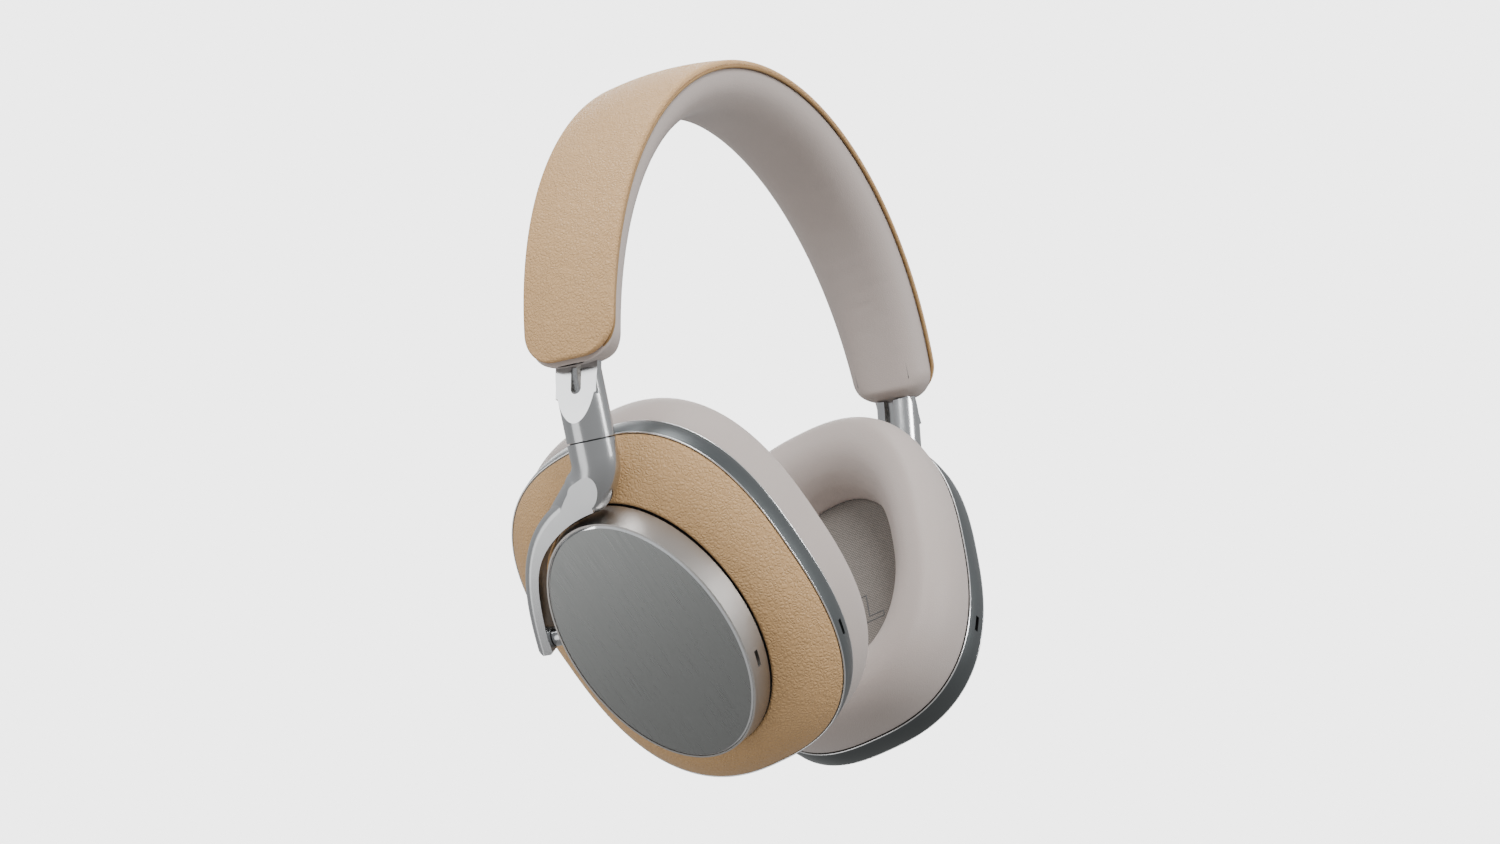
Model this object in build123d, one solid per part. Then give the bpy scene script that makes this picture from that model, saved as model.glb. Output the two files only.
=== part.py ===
from build123d import *
import os
from math import asin, cos, degrees, pi, radians, sin

# Over-ear wireless headphones, millimetres.  +X is the wearer's left, -Y the front, +Z up.
# Origin: middle of the underside of the headband cushion, where the head carries it.

# ---- headband ----
BAND_RADIUS = 96.0        # outer skin of the band along its two long edges
BAND_CROWN = 1.5          # how much the outer skin rises in the middle of its width
BAND_THICKNESS = 12.5     # outer skin to the underside of the cushion
BAND_HALF_TOP = 15.8      # half width at the crown of the head
BAND_HALF_END = 12.9      # half width at the two ends
COVER_THICKNESS = 2.0
BAND_END_HEIGHT = 9.1     # ends of the cover above the band's own centre
END_CORNER = 9.0          # corner radius of the band ends
CUSHION_OVERHANG = 1.0    # cushion shows below the cover at each end
FRAME_THICKNESS = 1.2
FRAME_HALF = 8.0
GUIDE_HALF = 8.6
GUIDE_DEPTH = 8.4
GUIDE_SCREW_R = 1.0
GUIDE_SETBACK = 5.4       # guide above the band's end

# ---- slider, one a side ----
SLIDE_LEAN = 16.0         # the strip leans in by this much going up
STRIP_HALF = 6.0
STRIP_THICKNESS = 2.4
STRIP_INSIDE = 30.0       # strip inside the band as it stands now
SLIDE_IN = 4.0            # travel left, into the band
SLIDE_OUT = 18.0          # travel left, out of the band
STRIP_SLOT = 3.0
MOUTH_STEP = 0.4          # full barrel ends this far above the band's mouth
CABLE_R = 1.05
CHANNEL_GAP = 0.3

# ---- swivel ----
SWIVEL_X = 89.5           # centre of the swivel joint from the middle of the head
SWIVEL_DROP = 11.15       # and below the band's own centre
SWIVEL_LEAN = 8.6         # its axis leans out by this much going up
SWIVEL_REST = 4.5         # how far the cups are turned now
BARREL_R = 6.25
JOINT_GAP = 0.4
PIN_R = 2.6
PIN_CLEARANCE = 0.05
PIN_UP = 7.5
PIN_DOWN = 8.0

# ---- yoke and tilt pivot ----
PIVOT_DROP = 48.1         # tilt axis below the swivel joint, along the swivel axis
PIVOT_INSET = 11.6        # and inboard of it
TILT_REST = 18.6          # how far the cups lean now, tops outward
KNEE_DROP = 5.0           # bend of the yoke begins this far below the swivel joint
BEND_R = 8.5              # centre line of the bend
BEND_TURN = 55.0
HOOK_X = 29.3             # centre line of the hook's end, behind the pivot's middle
HOOK_WIDTH = 4.3
HOOK_FACE = 4.4           # flat outer face of the hook above the tilt axis
HOOK_DEPTH = 6.2
HOOK_TOP = 39.8           # top of the hook above the tilt axis
HOOK_ROUND = 2.2
TILT_PIN_R = 1.3
BOSS_R = 2.6
BOSS_GAP = 0.2

# ---- cup ----
RAKE = 16.1               # ovals lean back by this much, as an ear does
PLATE_DROP = 4.9          # middle of the ovals below the tilt axis
PLATE_HALF_X = 23.0
PLATE_HALF_Y = 34.9
PLATE_Z = 3.5             # face of the plate, outboard of the tilt axis
PLATE_THICKNESS = 1.6
HOUSING_DEPTH = 8.5
HOUSING_FLARE = 1.85
HOUSING_WALL = 1.6
RING_HALF_X = 37.7
RING_HALF_Y = 50.0
RING_POWER = 2.58
RING_FORWARD = 1.0        # the ring sits this much further forward than the plate
RING_SETBACK = 19.15      # leather edge of the ring behind the plate's face
RING_DEPTH = 7.4
RING_WALL = 1.8
LEATHER = 1.5
SHELL_WALL = 1.6
BAFFLE_THICKNESS = 1.8
PAD_PLATE = 1.2
PAD_HEIGHT = 20.0
PAD_BULGE = 1.2
OPENING_HALF_X = 20.5
OPENING_HALF_Y = 30.5
LINER = 0.6
DRIVER_R = 20.0
FIT = 0.1                 # gap between close pieces of one cup
RIM_WALL = 1.2
POST_R = 2.8
SCREW_R = 1.1
PLATE_CHAMFER = 0.6
MIC_LENGTH = 4.2
MIC_ANGLE = 220.0         # place of the microphone slot round the plate's wall
MIC_Z = -0.8
RING_MIC_ANGLE = 36.0
BOARD_Z = -11.0

# ---- controls ----
BUTTON_LENGTH = 8.0
BUTTON_WIDTH = 3.6
BUTTON_PROUD = 0.8
BUTTON_TRAVEL = 0.5
BUTTON_GAP = 0.25
BUTTON_BODY = 3.0
SWITCH_TRAVEL = 3.0
MIC_SLOT = 1.5
USB_WIDTH = 9.0
USB_HEIGHT = 3.2
USB_DEPTH = 7.0

# ---- derived places ----
CENTRE_Z = -(BAND_RADIUS - BAND_THICKNESS)
SWIVEL_Z = CENTRE_Z - SWIVEL_DROP
RING_Z = PLATE_Z - RING_SETBACK
PAD_Z = RING_Z - RING_DEPTH
HOUSING_Z = PLATE_Z - HOUSING_DEPTH
END_ANGLE = 90 - degrees(asin(BAND_END_HEIGHT / BAND_RADIUS))

os.makedirs("parts", exist_ok=True)
saved = {}


def save(name, shape):
    """Write one node and remember it."""
    export_step(shape, f"parts/{name}.step")
    saved[name] = shape


# ============================ headband ============================
def band_half(angle):
    """Half width of the band, this many degrees from its top."""
    share = 1 - (angle / END_ANGLE) ** 2
    return BAND_HALF_END + (BAND_HALF_TOP - BAND_HALF_END) * max(share, -0.3)


def band_plane(angle):
    """Section plane of the band: x across it, y outward from its centre."""
    turn = radians(angle)
    along = (cos(turn), 0, -sin(turn))
    return Plane(origin=(0, 0, CENTRE_Z), x_dir=(0, 1, 0), z_dir=along)


def band_loft(section, first=-96, last=96, count=13):
    """Skin a solid through band sections at even angles."""
    step = (last - first) / (count - 1)
    angles = [first + step * i for i in range(count)]
    return loft([band_plane(angle) * section(band_half(angle)) for angle in angles])


def cover_section(half):
    """Crescent of leather: crowned outside, parallel inside."""
    edge = BAND_RADIUS
    inner = BAND_RADIUS - COVER_THICKNESS
    top = ThreePointArc((-half, edge), (0, edge + BAND_CROWN), (half, edge))
    low = ThreePointArc((half - 0.4, inner), (0, inner + BAND_CROWN), (-half + 0.4, inner))
    return make_face([top, Line(top @ 1, low @ 0), low, Line(low @ 1, top @ 0)])


def cushion_section(half):
    """Cushion: flat against the cover, softly rounded below."""
    wide = half - 0.9
    top = BAND_RADIUS - COVER_THICKNESS - FIT
    low = BAND_RADIUS - BAND_THICKNESS
    back = ThreePointArc((-wide, top), (0, top + BAND_CROWN), (wide, top))
    belly = Spline(
        (wide, top), (wide * 0.95, top - 4.2), (wide * 0.66, low + 1.2), (0, low),
        (-wide * 0.66, low + 1.2), (-wide * 0.95, top - 4.2), (-wide, top),
    )
    return make_face([back, belly])


def end_mask(height, corner):
    """Everything above the band ends, with their two corners rounded."""
    low = CENTRE_Z + height
    side = BAND_HALF_END + 0.15
    spread = side + (BAND_HALF_TOP - BAND_HALF_END) * 1.6
    line = FilletPolyline(
        (-40, low + 75), (-spread, low + 75), (-side, low), (side, low), (spread, low + 75),
        (40, low + 75), (40, low + 200), (-40, low + 200), radius=corner, close=True,
    )
    return extrude(Plane.YZ * make_face(line), amount=150, both=True)


def arc_block(inner, outer, half, first, last):
    """Part of a ring about the band's centre, square in section."""
    middle = (first + last) / 2
    span = last - first
    section = Pos(0, (inner + outer) / 2) * Rectangle(2 * half, outer - inner)
    start = band_plane(middle - span / 2) * section
    return revolve(start, Axis((0, 0, CENTRE_Z), (0, 1, 0)), span)


# ============================ side frames ============================
# Every piece of a side is drawn for the wearer's left and mirrored for the right.
# Side frame: x to the rear, y up the swivel axis, z outboard, at the swivel joint.
SIDE = Plane(
    origin=(SWIVEL_X, 0, SWIVEL_Z),
    x_dir=(0, 1, 0),
    z_dir=(cos(radians(SWIVEL_LEAN)), 0, -sin(radians(SWIVEL_LEAN))),
).location
YOKE = SIDE * Rot(0, -SWIVEL_REST, 0)
CUP = YOKE * Pos(0, -PIVOT_DROP, -PIVOT_INSET) * Rot(TILT_REST, 0, 0)
OVAL = CUP * Pos(0, -PLATE_DROP, 0) * Rot(0, 0, -RAKE)
RING = OVAL * Pos(-RING_FORWARD, 0, 0)

# Slider frame: x to the rear, y up the strip, z outboard, on the strip's outer face
# where it leaves the band.
LEAN_UP = (-sin(radians(SLIDE_LEAN)), 0, cos(radians(SLIDE_LEAN)))
STRIP_MOUTH_A = 20.0
FACET_A = 6.1
facet_drop = (STRIP_MOUTH_A - FACET_A) * sin(radians(SLIDE_LEAN + SWIVEL_LEAN))
facet_drop = facet_drop / cos(radians(SLIDE_LEAN + SWIVEL_LEAN))
mouth = (SIDE * Pos(0, STRIP_MOUTH_A, BARREL_R - 0.5 - facet_drop)).position
STRIP = Plane(
    origin=(mouth.X, 0, mouth.Z),
    x_dir=(0, 1, 0),
    z_dir=(cos(radians(SLIDE_LEAN)), 0, sin(radians(SLIDE_LEAN))),
).location


def both_sides(name, shape):
    """Save the left piece and its mirror image on the right."""
    save(f"{name}_left", shape)
    save(f"{name}_right", mirror(shape, Plane.YZ))


# ============================ slider ============================
def strip_box(half, thick, low, high, grow=0.0):
    """Box on the strip's own frame, from its outer face inward."""
    box = Box(2 * half, high - low, thick + 2 * grow)
    return STRIP * Pos(0, (low + high) / 2, -thick / 2) * box


def side_cylinder(radius, low, high):
    """Cylinder on the swivel axis."""
    return SIDE * Pos(0, (low + high) / 2, 0) * Rot(90, 0, 0) * Cylinder(radius, high - low)


def make_slider():
    """Barrel with an oblique flat that runs on as the slotted strip."""
    barrel = side_cylinder(BARREL_R, JOINT_GAP / 2, 26)
    outer_cut = STRIP * Pos(0, 0, 10) * Box(60, 90, 20)
    barrel = barrel - outer_cut
    inner_cut = STRIP * Pos(0, 40 + MOUTH_STEP, -STRIP_THICKNESS - 10) * Box(60, 80, 20)
    barrel = barrel - inner_cut
    strip = strip_box(STRIP_HALF, STRIP_THICKNESS, -9, STRIP_INSIDE)
    body = barrel + strip
    body = body & (strip_box(STRIP_HALF + 0.5, 60, -60, STRIP_INSIDE))
    slot_low = -8.6 + STRIP_SLOT / 2
    slot_high = STRIP_INSIDE - 4
    slot = strip_box(STRIP_SLOT / 2, 30, slot_low, slot_high)
    slot_end = STRIP * Pos(0, slot_low, -15) * Cylinder(STRIP_SLOT / 2, 30)
    body = body - slot - slot_end
    pin_hole = side_cylinder(PIN_R, -1, PIN_UP)
    return body - pin_hole


slider = make_slider()
both_sides("slider_arm", slider)

cable_path = FilletPolyline(
    (0, -7.3, -4.6), (0, -5.0, -2.6), (0, 3, -1.35), (0, STRIP_INSIDE - 6, -1.3), radius=2.0
)
cable = STRIP * sweep(Plane(cable_path ^ 0) * Circle(CABLE_R), cable_path)
both_sides("slider_cable", cable)

pin = side_cylinder(PIN_R, -PIN_DOWN, PIN_UP)
both_sides("swivel_pin", pin)


# ============================ band pieces ============================
def channel_cut(extra):
    """Room for the strip over its whole travel."""
    half = STRIP_HALF + CHANNEL_GAP + extra
    top = STRIP_INSIDE + SLIDE_IN + 1.0
    thick = STRIP_THICKNESS + 2 * (CHANNEL_GAP + extra)
    box = Box(2 * half, top + 30, thick)
    return STRIP * Pos(0, (top - 30) / 2, -STRIP_THICKNESS / 2) * box


channel = channel_cut(0)
guide_outer = BAND_RADIUS - COVER_THICKNESS - 2 * FIT
guide_inner = guide_outer - GUIDE_DEPTH
guide_first = END_ANGLE - degrees((STRIP_INSIDE + SLIDE_IN + 5.0) / BAND_RADIUS)
guide_last = END_ANGLE - degrees(GUIDE_SETBACK / BAND_RADIUS)
guide = arc_block(guide_inner, guide_outer, GUIDE_HALF, guide_first, guide_last)


def guide_screws():
    """Two small screws that hold the guide to the cover's stiffener."""
    group = []
    for y_side in (-1, 1):
        turn = radians((guide_first + guide_last) / 2)
        where = Vector(sin(turn), 0, cos(turn))
        base = Vector(0, y_side * (GUIDE_HALF - 1.1), CENTRE_Z) + where * (guide_inner + 0.4)
        plane = Plane(origin=base, z_dir=where)
        shaft = extrude(plane * Circle(GUIDE_SCREW_R * 0.7), 4.5)
        head = extrude(plane * Circle(GUIDE_SCREW_R), 0.8)
        group.append(shaft + head)
    return group


screws = guide_screws()
for screw in screws:
    guide = guide - screw
guide = guide - channel
both_sides("end_guide", guide)
both_sides("guide_screws", Compound(children=screws))

cover = band_loft(cover_section) & end_mask(BAND_END_HEIGHT, END_CORNER)
save("headband_cover", cover)

frame_outer = BAND_RADIUS - COVER_THICKNESS - 2 * FIT
frame_reach = guide_first - 0.3
frame = arc_block(frame_outer - FRAME_THICKNESS, frame_outer, FRAME_HALF, -frame_reach, frame_reach)
save("headband_frame", frame)

cushion_height = BAND_END_HEIGHT - CUSHION_OVERHANG
cushion = band_loft(cushion_section) & end_mask(cushion_height, END_CORNER - 1)
pocket = arc_block(
    guide_inner - FIT, guide_outer + 0.4, GUIDE_HALF + FIT, guide_first - 0.15, END_ANGLE + 3
)
cushion = cushion - pocket - mirror(pocket, Plane.YZ)
frame_pocket = arc_block(
    frame_outer - FRAME_THICKNESS - FIT, frame_outer + 0.4, FRAME_HALF + FIT, -frame_reach, frame_reach
)
cushion = cushion - frame_pocket
save("headband_cushion", cushion)


# ============================ yoke ============================
def make_bend():
    """Round bend from the barrel towards the rear, and a taper that runs into the hook."""
    turn = radians(BEND_TURN)
    end = Vector(BEND_R - BEND_R * cos(turn), -KNEE_DROP - BEND_R * sin(turn), 0)
    start = Plane(origin=(0, -KNEE_DROP, 0), z_dir=(0, -1, 0)) * Circle(BARREL_R)
    bend = YOKE * revolve(start, Axis((BEND_R, -KNEE_DROP, 0), (0, 0, 1)), BEND_TURN)
    near = (YOKE * Pos(end.X, end.Y, 0)).position
    far = (CUP * Pos(14.5, HOOK_TOP - 8.0, 0.8)).position
    taper = Solid.make_cone(BARREL_R, 3.1, (far - near).length, Plane(origin=near, z_dir=far - near))
    return bend + Pos(*near) * Sphere(BARREL_R) + taper


def make_yoke():
    """Round barrel and bend, and a flat-faced hook round the rear of the plate."""
    inner_x = HOOK_X - HOOK_WIDTH / 2
    outer_x = HOOK_X + HOOK_WIDTH / 2
    inner = Spline(
        (2.0, HOOK_TOP - 6.6), (8.2, HOOK_TOP - 8.2), (inner_x - 12.0, HOOK_TOP - 11.8),
        (inner_x - 5.6, 21.8), (inner_x - 1.8, 12.2), (inner_x, 1.5),
    )
    foot = Polyline(
        (inner_x, 1.5), (inner_x, -2.4), (inner_x + 0.7, -3.1), (outer_x - 1.3, -3.1),
        (outer_x, -1.8), (outer_x, 1.5),
    )
    outer = Spline(
        (outer_x, 1.5), (outer_x - 1.6, 11.8), (outer_x - 5.1, 22.3),
        (outer_x - 10.5, HOOK_TOP - 9.4), (outer_x - 17.0, HOOK_TOP - 4.2), (2.0, HOOK_TOP + 0.4),
    )
    outline = make_face([inner, foot, outer, Line(outer @ 1, inner @ 0)])
    hook = Pos(0, 0, HOOK_FACE - HOOK_DEPTH) * extrude(outline, HOOK_DEPTH)
    top_edges = hook.edges().filter_by_position(Axis.Z, HOOK_FACE - 0.01, HOOK_FACE + 0.01)
    rear_edge = top_edges.sort_by(SortBy.LENGTH)[-2:].sort_by(Axis.Y)[-1]
    hook = fillet(rear_edge, HOOK_ROUND)
    arm = side_cylinder(BARREL_R, -KNEE_DROP, -JOINT_GAP / 2) + make_bend() + CUP * hook
    arm = arm - CUP * Pos(0, 20, HOOK_FACE + 15) * Box(120, 140, 30)
    arm = arm - side_cylinder(PIN_R + PIN_CLEARANCE, -PIN_DOWN - 0.5, 2)
    pin_hole = CUP * Pos(HOOK_X, 0, 0) * Rot(0, 90, 0) * Cylinder(TILT_PIN_R, HOOK_WIDTH + 4)
    outer_flat = CUP * Pos(pin_head + 5, 0, 0) * Rot(0, 90, 0) * Cylinder(2.1, 10)
    return arm - outer_flat - pin_hole


pin_head = HOOK_X + HOOK_WIDTH / 2 - 0.3


both_sides("yoke_arm", make_yoke())

washer = side_cylinder(BARREL_R - 0.7, -JOINT_GAP / 2, JOINT_GAP / 2 - 0.1)
washer = washer - side_cylinder(PIN_R + PIN_CLEARANCE, -3, 3)
both_sides("swivel_washer", washer)

boss_end = HOOK_X - HOOK_WIDTH / 2 - BOSS_GAP
pin_tip = boss_end - 4.0
tilt_pin = CUP * Pos((pin_tip + pin_head) / 2, 0, 0) * Rot(0, 90, 0) * Cylinder(
    TILT_PIN_R, pin_head - pin_tip
)
both_sides("tilt_pin", tilt_pin)
cap = CUP * Pos(pin_head + 0.5, 0, 0) * Rot(0, 90, 0) * Cylinder(1.9, 1.0)
cap = fillet(cap.edges().filter_by(GeomType.CIRCLE).sort_by(Axis.Y)[-1], 0.6)
both_sides("pivot_cap", cap)


# ============================ cup ============================
def oval(half_x, half_y, power):
    """Closed superellipse; power 2 is an ellipse, more is squarer."""
    count = 32
    points = []
    for i in range(count):
        turn = 2 * pi * i / count
        c = cos(turn)
        s = sin(turn)
        x = half_x * abs(c) ** (2 / power) * (1 if c >= 0 else -1)
        y = half_y * abs(s) ** (2 / power) * (1 if s >= 0 else -1)
        points.append((x, y))
    return make_face(Spline(*points, periodic=True))


def oval_solid(frame, *sections):
    """Solid through ovals given as (z, half_x, half_y, power), outboard one first."""
    faces = [Pos(0, 0, z) * oval(half_x, half_y, power) for z, half_x, half_y, power in sections]
    return frame * loft(faces)


def plate_oval(z, grow):
    """Oval of the face plate's family."""
    return (z, PLATE_HALF_X + grow, PLATE_HALF_Y + grow, 2.02)


def ring_oval(z, grow):
    """Oval of the ring's family."""
    return (z, RING_HALF_X + grow, RING_HALF_Y + grow, RING_POWER)


def dome(grow, first, last):
    """Flare of the cup from the plate's housing out to the ring, grown by so much."""
    start_x = PLATE_HALF_X + HOUSING_FLARE + 0.7
    start_y = PLATE_HALF_Y + HOUSING_FLARE + 0.7
    sections = []
    for share, rise, power in ((0.0, 0.0, 2.05), (0.42, 0.25, 2.25), (0.78, 0.6, 2.45), (1.0, 1.0, 2.58)):
        half_x = start_x + (RING_HALF_X - 0.2 - start_x) * share + grow
        half_y = start_y + (RING_HALF_Y - 0.2 - start_y) * share + grow
        sections.append((first + (last - first) * rise, half_x, half_y, power))
    return oval_solid(RING, *sections)


dome_top = HOUSING_Z - 0.5
leather_out = dome(0, dome_top, RING_Z)
leather_in = dome(-LEATHER, dome_top - 0.9, RING_Z)
top_hole = oval_solid(RING, (dome_top + 5, PLATE_HALF_X + 1, PLATE_HALF_Y + 1, 2.05),
                      (dome_top - 3, PLATE_HALF_X + 1, PLATE_HALF_Y + 1, 2.05))
both_sides("leather_panel", leather_out - leather_in - top_hole)

shell_out = dome(-LEATHER - FIT, dome_top - 1.0, RING_Z)
shell_in = dome(-LEATHER - FIT - SHELL_WALL, dome_top - 2.8, RING_Z)
shell = shell_out - shell_in
post_places = [(26.0, 33.0), (-26.0, 33.0), (26.0, -33.0), (-26.0, -33.0)]
baffle_z = PAD_Z + BAFFLE_THICKNESS + FIT
post_low = baffle_z + FIT
for x, y in post_places:
    low_part = RING * Pos(x, y, (post_low + RING_Z) / 2) * Cylinder(POST_R, RING_Z - post_low)
    high_part = RING * Pos(x, y, RING_Z + 6) * Cylinder(POST_R, 12)
    shell = shell + low_part + (high_part & shell_out)
rim_out = oval_solid(RING, ring_oval(RING_Z, -RING_WALL - FIT), ring_oval(post_low, -RING_WALL - FIT))
rim_in = oval_solid(
    RING, ring_oval(RING_Z + 1, -RING_WALL - FIT - RIM_WALL), ring_oval(PAD_Z, -RING_WALL - FIT - RIM_WALL)
)
shell = shell + (rim_out - rim_in)

housing_out = oval_solid(OVAL, plate_oval(PLATE_Z - 0.4, 0.45), plate_oval(HOUSING_Z, HOUSING_FLARE))
housing_in = oval_solid(
    OVAL, plate_oval(PLATE_Z + 1, 0.45 - HOUSING_WALL), plate_oval(HOUSING_Z - 1, HOUSING_FLARE - HOUSING_WALL)
)
plate_seat = oval_solid(OVAL, plate_oval(PLATE_Z + 1, 0.0), plate_oval(PLATE_Z - PLATE_THICKNESS, 0.0))
ledge_z = PLATE_Z - PLATE_THICKNESS
ledge = oval_solid(OVAL, plate_oval(ledge_z, -0.5), plate_oval(ledge_z - 1.2, -0.5))
ledge = ledge - oval_solid(OVAL, plate_oval(ledge_z + 1, -3.5), plate_oval(ledge_z - 3, -3.5))
housing = housing_out - housing_in + ledge - plate_seat
boss_step = PLATE_HALF_X + 1.9
boss_root = boss_end - 7.2
boss = CUP * Pos((boss_end + boss_step) / 2, 0, 0) * Rot(0, 90, 0) * Cylinder(BOSS_R, boss_end - boss_step)
boss = boss + CUP * Pos((boss_root + boss_step) / 2, 0, 0) * Rot(0, 90, 0) * Cylinder(
    TILT_PIN_R + 0.5, boss_step - boss_root
)
housing = housing - boss
mic_turn = Rot(0, 0, MIC_ANGLE)
mic_cut = OVAL * mic_turn * Pos(PLATE_HALF_Y, 0, MIC_Z) * Box(30, MIC_LENGTH, MIC_SLOT)
mic_cut = mic_cut & oval_solid(OVAL, plate_oval(PLATE_Z + 2, 6), plate_oval(HOUSING_Z - 2, 6))
housing = housing - mic_cut
both_sides("plate_housing", housing)

plate = oval_solid(OVAL, plate_oval(PLATE_Z, -FIT / 2), plate_oval(ledge_z, -FIT / 2))
plate = chamfer(plate.faces().sort_by(Axis.X)[-1].edges(), PLATE_CHAMFER)
both_sides("face_plate", plate)

boss = boss - CUP * Pos(boss_end, 0, 0) * Rot(0, 90, 0) * Cylinder(TILT_PIN_R + PIN_CLEARANCE, 9.0)
both_sides("pivot_boss", boss)

baffle = oval_solid(
    RING, ring_oval(baffle_z, -RING_WALL - 2 * FIT), ring_oval(baffle_z - BAFFLE_THICKNESS, -RING_WALL - 2 * FIT)
)
baffle = baffle - RING * Pos(0, 0, baffle_z) * Cylinder(DRIVER_R - 1.5, 8)
screw_group = []
for x, y in post_places:
    spot = RING * Pos(x, y, baffle_z - BAFFLE_THICKNESS)
    shaft = spot * Pos(0, 0, 3.5) * Cylinder(SCREW_R, 7)
    head = spot * Pos(0, 0, 0.5) * Cylinder(2 * SCREW_R, 1.0)
    screw_group.append(shaft + head)
for screw in screw_group:
    baffle = baffle - screw
    shell = shell - screw
both_sides("baffle", baffle)
both_sides("cup_screws", Compound(children=screw_group))

basket = RING * Pos(0, 0, baffle_z + 2.2) * (Cylinder(DRIVER_R, 4.2) - Cylinder(DRIVER_R - 1.2, 5))
basket = basket + RING * Pos(0, 0, baffle_z + 4.9) * (Cylinder(DRIVER_R, 1.2) - Cylinder(8.0, 2))
magnet = RING * Pos(0, 0, baffle_z + 5.6) * Cylinder(7.9, 5.0)
cone = RING * Pos(0, 0, baffle_z + 0.9) * Cone(DRIVER_R - 1.3, DRIVER_R - 6, 1.4)
both_sides("driver_basket", basket)
both_sides("driver_magnet", magnet)
both_sides("driver_diaphragm", cone)

pad_plate_z = PAD_Z - FIT
pad_plate = oval_solid(RING, ring_oval(pad_plate_z, -1.6), ring_oval(pad_plate_z - PAD_PLATE, -1.6))
plate_hole = oval_solid(
    RING,
    (pad_plate_z + 1, OPENING_HALF_X - 2, OPENING_HALF_Y - 2, 2.3),
    (pad_plate_z - 3, OPENING_HALF_X - 2, OPENING_HALF_Y - 2, 2.3),
)
both_sides("pad_plate", pad_plate - plate_hole)

liner_z = pad_plate_z - PAD_PLATE - FIT
liner = oval_solid(
    RING,
    (liner_z, OPENING_HALF_X - 0.6, OPENING_HALF_Y - 0.6, 2.3),
    (liner_z - LINER, OPENING_HALF_X - 0.6, OPENING_HALF_Y - 0.6, 2.3),
)
both_sides("acoustic_liner", liner)

pad_low = pad_plate_z - FIT
pad_out = oval_solid(
    RING,
    ring_oval(pad_low, -0.3),
    ring_oval(pad_low - 0.25 * PAD_HEIGHT, PAD_BULGE),
    ring_oval(pad_low - 0.62 * PAD_HEIGHT, PAD_BULGE * 0.6),
    ring_oval(pad_low - 0.88 * PAD_HEIGHT, -2.4),
    ring_oval(pad_low - PAD_HEIGHT, -7.0),
)
pad_in = oval_solid(
    RING,
    (pad_low + 1, OPENING_HALF_X, OPENING_HALF_Y, 2.3),
    (pad_low - 0.5 * PAD_HEIGHT, OPENING_HALF_X - 0.8, OPENING_HALF_Y - 0.8, 2.3),
    (pad_low - 0.8 * PAD_HEIGHT, OPENING_HALF_X + 0.8, OPENING_HALF_Y + 0.8, 2.3),
    (pad_low - 1.02 * PAD_HEIGHT, OPENING_HALF_X + 6.5, OPENING_HALF_Y + 6.5, 2.3),
)
pad_pocket = oval_solid(
    RING, ring_oval(pad_plate_z + 2, -1.6 + FIT), ring_oval(pad_plate_z - PAD_PLATE - FIT, -1.6 + FIT)
)
both_sides("ear_pad", pad_out - pad_in - pad_pocket)


# ============================ trim rings and controls ============================
ring_out = oval_solid(RING, ring_oval(RING_Z - FIT, 0.0), ring_oval(RING_Z - 0.5 * RING_DEPTH, 0.3), ring_oval(PAD_Z, 0.0))
ring_in = oval_solid(RING, ring_oval(RING_Z + 1, -RING_WALL), ring_oval(PAD_Z - 1, -RING_WALL))
plain_ring = ring_out - ring_in
ring_mic = RING * Rot(0, 0, RING_MIC_ANGLE) * Pos(-RING_HALF_Y, 0, RING_Z - 0.5 * RING_DEPTH)
ring_mic = ring_mic * Box(34, MIC_LENGTH, MIC_SLOT)
plain_ring = plain_ring - ring_mic
button_z = RING_Z - 0.5 * RING_DEPTH


def ring_x(y):
    """Rearward reach of the ring's outline at a height on it."""
    return (RING_HALF_X + 0.3) * (1 - (abs(y) / RING_HALF_Y) ** RING_POWER) ** (1 / RING_POWER)


def pill(length, width, depth, y, proud):
    """Round-ended block that stands proud of the ring's rear side."""
    reach = ring_x(y) + proud
    shape = extrude(Plane.YZ * SlotOverall(length, width), -depth)
    return RING * Pos(reach, y, button_z) * shape


def control(name, side, y, travel_along=0.0):
    """A button or switch in its own hole; returns the hole."""
    cap = pill(BUTTON_LENGTH, BUTTON_WIDTH, BUTTON_BODY, y, BUTTON_PROUD)
    hole = pill(
        BUTTON_LENGTH + 2 * BUTTON_GAP + travel_along, BUTTON_WIDTH + 2 * BUTTON_GAP,
        BUTTON_BODY + BUTTON_TRAVEL + 2.2, y + travel_along / 2, BUTTON_PROUD + 2,
    )
    if side == "right":
        cap = mirror(cap, Plane.YZ)
    save(name, cap)
    return hole


right_ring = plain_ring
right_shell = shell
holes = [
    control("power_switch", "right", 16.0, SWITCH_TRAVEL),
    control("volume_up_button", "right", 3.5),
    control("play_button", "right", -6.0),
    control("volume_down_button", "right", -15.5),
]
for hole in holes:
    right_ring = right_ring - hole
    right_shell = right_shell - hole
usb_spot = RING * Pos(0, -RING_HALF_Y, button_z)
usb_hole = usb_spot * Rot(90, 0, 0) * extrude(SlotOverall(USB_WIDTH + 0.6, USB_HEIGHT + 0.6), 12, both=True)
right_ring = right_ring - usb_hole
right_shell = right_shell - usb_hole
usb_shell = extrude(SlotOverall(USB_WIDTH, USB_HEIGHT), USB_DEPTH)
usb_shell = usb_shell - Pos(0, 0, 0.8) * extrude(SlotOverall(USB_WIDTH - 0.8, USB_HEIGHT - 0.8), USB_DEPTH)
usb_shell = usb_shell + Pos(0, 0, USB_DEPTH / 2) * Box(6.0, 0.7, USB_DEPTH - 1.0)
usb = usb_spot * Pos(0, USB_DEPTH - 0.2, 0) * Rot(90, 0, 0) * usb_shell
save("usb_socket", mirror(usb, Plane.YZ))
save("trim_ring_right", mirror(right_ring, Plane.YZ))
quick_hole = control("quick_button", "left", 3.5)
save("trim_ring_left", plain_ring - quick_hole)
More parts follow.
